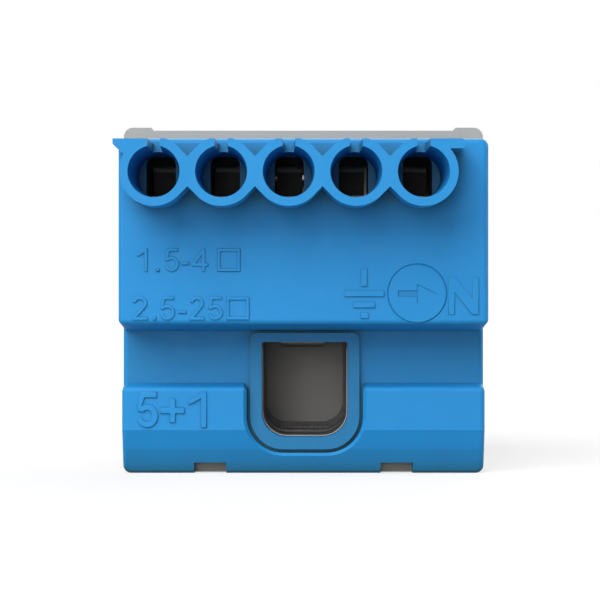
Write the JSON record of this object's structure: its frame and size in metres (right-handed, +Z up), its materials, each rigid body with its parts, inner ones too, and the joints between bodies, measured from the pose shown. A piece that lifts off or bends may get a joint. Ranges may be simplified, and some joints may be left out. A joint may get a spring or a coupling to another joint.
{
  "type": "neutral terminal block",
  "caption": "Moulded neutral terminal block with a row of round push-in wire entries over one large screw-clamped wire window.",
  "frame": {"origin": "centre of the block's bounding box on its flat bottom", "axes": "+Z up, wires enter from -Y, +X to the right when facing the wire entries"},
  "size_m": [0.036, 0.035, 0.0345],
  "materials": {
    "blue_moulding": "fine satin",
    "grey_moulding": "fine satin",
    "dark_moulding": "satin",
    "tinned_copper": "dull tin plate",
    "zinc_plated_steel": "bright zinc plate",
    "screw_steel": "bright zinc plate",
    "spring_steel": "polished strip"
  },
  "bodies": {
    "housing": {"front_cover": "blue_moulding", "rear_base": "grey_moulding", "contact_carrier": "dark_moulding", "busbar": "tinned_copper", "spring_frame_1": "spring_steel", "spring_frame_2": "spring_steel", "spring_frame_3": "spring_steel", "spring_frame_4": "spring_steel", "spring_frame_5": "spring_steel", "push_in_spring_1": "spring_steel", "push_in_spring_2": "spring_steel", "push_in_spring_3": "spring_steel", "push_in_spring_4": "spring_steel", "push_in_spring_5": "spring_steel"},
    "screw": {"clamp_screw": "screw_steel"},
    "cage": {"terminal_cage": "zinc_plated_steel"}
  },
  "joints": [
    {"name": "clamp_screw_turn", "type": "hinge", "parent": "housing", "child": "screw", "pos_m": [0.0003, 0.0085, 0.027], "axis": [0, 0, -1], "range_deg": [0, 3061]},
    {"name": "cage_rise", "type": "slide", "parent": "housing", "child": "cage", "axis": [0, 0, 1], "range_m": [0, 0.0085]}
  ],
  "couplings": [
    {"joint": "clamp_screw_turn", "follows": "cage_rise", "rad_per_m": 6283.2}
  ]
}
